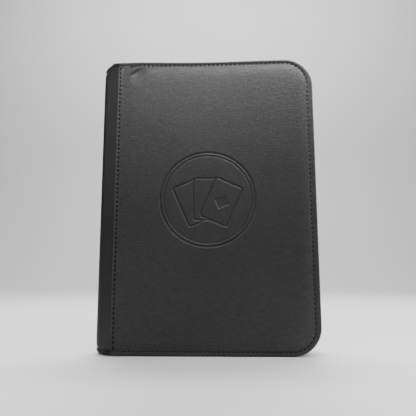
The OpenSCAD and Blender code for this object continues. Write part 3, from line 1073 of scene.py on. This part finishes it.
def end_gusset(name, material):
    """Fabric that closes an end of the spine: a domed sheet with a hem at the zip's end."""
    low, high = span(name)
    up = 1 if low[2] > MIDDLE_Z else -1
    throat_x = NOSE_X + NOSE_R * STRIP_OUT[0] + 1.5
    half_w = high[1]
    us, vs = samples((low[0], 1.2), (high[0] - 2, 0.4), (high[0], 0)), np.linspace(-1, 1, 33)
    face = []
    for x in us:
        wide = np.interp(x, (low[0], throat_x, high[0] - 5.7, high[0]), (4, 9.4, half_w, half_w))
        flatter = 1 - 0.7 * smooth(high[0] - 6, high[0] - 1, x)
        dome = 1.3 * (1 - vs ** 4) * smooth(low[0], low[0] + 8, x) * flatter
        hem = 0.45 * hump(x - high[0] + 0.9, 0.6) + 0.12 * np.sin(vs * 9) * smooth(low[0], low[0] + 5, x)
        z = (high[2] if up > 0 else low[2]) + up * (dome + hem - 0.1)
        face.append(np.stack([np.full(33, x), vs * wide, z], -1))
    piece(f"{name}_cloth", slab(face, (0, 0, -up * 0.5)), material, "spine", (name,))


# ---- linings and pages

def lining(side, material):
    """Woven lining: flat and pasted over the cover's board, then down the inside of the hinge strip."""
    corner = np.array([FOLD_X, STRIP_H]) - SKIN_T * STRIP_OUT
    bend = corner + STRIP_ALONG * (corner[1] - LINING_H) / -STRIP_ALONG[1]
    tip = np.array([FOLD_X, STRIP_H]) + STRIP_ALONG * (STRIP_LEN - 2.5) - SKIN_T * STRIP_OUT
    far_x = EDGE_X - HEM_IN
    slope = [tip + (bend - tip) * t for t in np.linspace(0, 0.93, 9)]
    across = samples((bend[0] + 0.7, 2), (FOLD_X + 6, 5), (BEND_X, 2.5), (far_x - 4, 0.5), (far_x, 0))
    flat = [(x, LINING_H) for x in across]
    rows = np.array(slope + flat)
    inner = np.array([-STRIP_OUT * LINING_T] * len(slope) + [(0, -LINING_T)] * len(flat))
    corner_r = CORNER_R - HEM_IN
    face, offset = [], []
    for (x, h), (in_x, in_h) in zip(rows, inner):
        beyond = max(0.0, x - BEND_X)
        on_slope = in_x != 0
        half = MIDDLE_Z - HEM_IN - corner_r + math.sqrt(max(corner_r ** 2 - beyond ** 2, 0))
        z = MIDDLE_Z + np.linspace(-1, 1, 71) * half
        pucker = 0.1 * (np.sin(z / 4.5 + x / 9) + 1) * hump(far_x - x - 7, 6) if x > FOLD_X else 0 * z
        strip_t = math.hypot(x - FOLD_X, h - STRIP_H)
        from_end = MIDDLE_Z - np.abs(z - MIDDLE_Z)
        sink = strip_drop(strip_t, from_end) if on_slope else 0 * z
        tucked = strip_drop(0, from_end) * (0 if on_slope else 1 - smooth(bend[0] + 2, FOLD_X + 2, x))
        face.append(np.stack([x - sink * STRIP_OUT[0], h - tucked - sink * STRIP_OUT[1], z], -1))
        offset.append(np.stack([np.full(71, in_x), in_h - pucker, np.zeros(71)], -1))
    shape = slab(face, np.array(offset))
    cloth = cover_piece(side, "lining_cloth", shape, material, "lining_cloth", "lining")


def page_lines(start, count, size, slit):
    """Grid values across welds and pockets from a start, with the height of the film at each."""
    values, heights = [], []
    for k in range(count):
        weld = start + k * (size + WELD_W)
        pocket = weld + WELD_W
        places = [(weld, 0), (weld + WELD_W / 2, 0), (pocket, 0), (pocket + 0.5, 0.25)]
        if slit:
            places += [(pocket + 3.0, 0.3), (pocket + 3.06, 0.85)]
        places += [(pocket + 6, 0.95), (pocket + size * 0.3, 1), (pocket + size * 0.7, 1)]
        places += [(pocket + size - 6, 0.95), (pocket + size - 2, 0.75), (pocket + size - 0.6, 0.3)]
        values += [place for place, _ in places]
        heights += [height for _, height in places]
    end = start + count * (size + WELD_W)
    return np.array(values + [end, end + WELD_W]), np.array(heights + [0, 0])


def page_mesh(film, weld_material):
    """One page at y = 0: a backing sheet with a puffed film pocket in each field on both faces, open
    along a slit at the spine side, and flat welds between."""
    xs, x_height = page_lines(page_low[0] + LEAD_IN, POCKETS, POCKET_W, True)
    xs = np.concatenate([[page_low[0] - 0.5, page_low[0], page_low[0] + 1.5], xs])
    x_height = np.concatenate([[0, 0, 0], x_height])
    zs, z_height = page_lines(page_low[2], POCKETS, POCKET_H, False)
    corner_r = 4.0
    xs = np.concatenate([xs[:-1], xs[-1] - np.array([0.9, 0.25, 0])])
    x_height = np.concatenate([x_height, [0, 0]])
    half = zs.max() - MIDDLE_Z
    beyond = np.maximum(0, corner_r - (xs[-1] - xs))
    half_at = half - corner_r + np.sqrt(corner_r ** 2 - beyond ** 2)
    x = np.repeat(xs[:, None], len(zs), axis=1)
    z = MIDDLE_Z + (zs[None, :] - MIDDLE_Z) * (half_at / half)[:, None]
    puff = np.minimum(x_height[:, None], z_height[None, :])
    thick = 0.08 + 0.14 * rounded(x - xs[0], 1.5) + PUFF * puff * (1 + 0.15 * np.sin(x / 19 + z / 27))
    upper = np.stack([x, -thick, z], -1)
    points, faces = slab(upper, np.stack([0 * x, 2 * thick, 0 * x], -1))
    mesh = smooth_mesh("page", points, faces, film, weld_material)
    height = np.concatenate([puff.ravel(), puff.ravel()])
    for face, polygon in zip(faces, mesh.polygons):
        polygon.material_index = 0 if max(height[i] for i in face) > 0.01 else 1
    return turned_out(mesh)


def pages(film, weld_material):
    """The pages, which share one mesh."""
    mesh = page_mesh(film, weld_material)
    for name in PAGE_NAMES:
        low, high = span(name)
        obj = shown(f"{name}_film", mesh, name, (name,))
        obj.location = (0, (low[1] + high[1]) / 2 * MM, 0)


def page_margins(material):
    """The pages' bound edges: a stack of film strips, each a little out of line."""
    draw = np.random.default_rng(7)
    parts = []
    half_t = 0.46 * PAGE_PITCH
    low_y = margin_low[1] + 0.05
    pitch = (margin_high[1] - margin_low[1] - 0.1) / len(PAGE_NAMES)
    for k in range(len(PAGE_NAMES)):
        section = squarish((margin_high[0] - margin_low[0]) / 2 - 0.1, half_t, 16, 0.35)
        section += ((margin_high[0] + margin_low[0]) / 2 - draw.uniform(0.05, 0.2), low_y + (k + 0.5) * pitch)
        ends = draw.uniform(0, 0.35, 2)
        parts.append(plate(section, margin_low[2] + ends[0], margin_high[2] - ends[1], 0.12))
    piece("page_edges", joined(parts), material, "spine", ("page_margins",))


def binding_stitches(material):
    """Long stitches through the bound edges of the pages, on both faces of the stack."""
    pitch = STITCH_PITCH + 1.6
    count = int((margin_high[2] - margin_low[2]) / pitch)
    x = (margin_low[0] + margin_high[0]) / 2
    places = [((x, margin_high[1] + 0.12, z), UPWARD, OUTWARD) for z in row_heights(count, pitch)]
    row = stitch_row(places)
    piece("binding_thread", joined([on_side(side, row) for side in SIDES]), material, "spine",
          ("binding_stitching",))


def repaint(material, *nodes):
    """Gives CAD nodes that stay in view their finish."""
    for node in nodes:
        for place in frame["nodes"][node].material_slots:
            place.material = material


# ---- stage, light and camera

def stage():
    """Pale floor that curves up into a backdrop."""
    half_w, front_y, back_y, bend_r, top_z = 4000, -2500, 2200, 900, 3200
    line = [(front_y, 0), (back_y - bend_r, 0)]
    for angle in np.linspace(0, math.pi / 2, 17)[1:]:
        line.append((back_y - bend_r + bend_r * math.sin(angle), bend_r - bend_r * math.cos(angle)))
    line.append((back_y, top_z))
    points = [(x, y, z) for y, z in line for x in (-half_w, half_w)]
    faces = [(2 * i, 2 * i + 1, 2 * i + 3, 2 * i + 2) for i in range(len(line) - 1)]
    added("backdrop", smooth_mesh("backdrop", points, faces, floor_finish()))


def softbox(name, place, aim, size, power):
    """Rectangular soft light at place, facing aim, in metres and watts."""
    light = bpy.data.lights.new(name, "AREA")
    light.shape = "RECTANGLE"
    light.size, light.size_y = size
    light.energy = power
    lamp = added(name, light)
    lamp.location = place
    lamp.visible_camera = False
    lamp.rotation_euler = (Vector(aim) - Vector(place)).to_track_quat("-Z", "Y").to_euler()


def lighting():
    world = bpy.data.worlds.new("studio")
    world.use_nodes = True
    background = world.node_tree.nodes["Background"]
    background.inputs["Color"].default_value = (1, 1, 1, 1)
    background.inputs["Strength"].default_value = 0.05
    bpy.context.scene.world = world
    softbox("key", (0.11, -0.175, 0.56), (0.05, -0.03, 0.2), (0.7, 0.1), 4.2)
    softbox("fill", (-1.0, -0.35, 0.6), (-0.1, 0, 0.18), (0.3, 0.6), 3)
    softbox("back", (0.0, 0.75, 0.95), (0, 0, 0.33), (1.6, 0.3), 22)
    softbox("side", (1.0, 0.35, 0.5), (0.12, 0, 0.2), (0.4, 0.8), 5)
    softbox("right", (0.9, -0.4, 0.5), (0.1, 0, 0.18), (0.3, 0.7), 2.5)
    softbox("wall", (0.0, 0.6, 2.4), (0, 2.2, 0.4), (2.5, 0.6), 100)


def camera():
    """Camera low in front of the binder, tipped up a little, at the viewing angle wanted."""
    lens = bpy.data.cameras.new("camera")
    lens.sensor_width = 36
    lens.lens = 36.4
    eye = Vector((16.9, -HALF_T - 490.0, 97.8)) * MM
    forward = Vector((-0.02957, 0.98913, 0.14404))
    roll = math.radians(-0.11)
    cam = added("camera", lens)
    cam.rotation_mode = "QUATERNION"
    cam.location = eye
    cam.rotation_quaternion = forward.to_track_quat("-Z", "Y") @ Matrix.Rotation(roll, 3, "Z").to_quaternion()
    bpy.context.scene.camera = cam


# ---- the binder

linen = linen_leather()
smooth_leather = spine_leather()
thread = thread_finish()
tape_cloth = woven("zip_tape_cloth", grey(0.006), grey(0.028), 1100, 0.14)
lining_weave = woven("lining_weave", grey(0.014), grey(0.05), 750, 0.18)
nylon = moulded("coil_nylon", grey(0.012), 0.3)
rubber = moulded("grip_rubber", grey(0.022), 0.5, 0.08)
metal = coated_metal()
for side in SIDES:
    cover_leather(side, linen)
    spine_half(side, smooth_leather)
    cover_piece(side, "edge_stitches", stitch_row(edge_stitch_places()), thread, "thread", "edge_stitching")
    cover_piece(side, "seam_stitches", stitch_row(seam_stitch_places()), thread, "thread", "seam_stitching")
    cover_piece(side, "strip_stitches", stitch_row(strip_stitch_places()), thread, "thread")
    zip_tape(side, tape_cloth)
    zip_coil(side, nylon)
    zip_stops(side, metal)
    lining(side, lining_weave)
zip_slider(metal)
pull_link(metal)
pull_grip(rubber)
for name in ("top_end_gusset", "bottom_end_gusset"):
    end_gusset(name, tape_cloth)
pages(pocket_film(), weld_film())
page_margins(weld_film())
binding_stitches(thread)
repaint(greyboard(), "front_board", "back_board")
repaint(moulded("stiffener_plastic", grey(0.04), 0.45), "spine_stiffener")
repaint(glue(), "binding_core")
stage()
lighting()
camera()
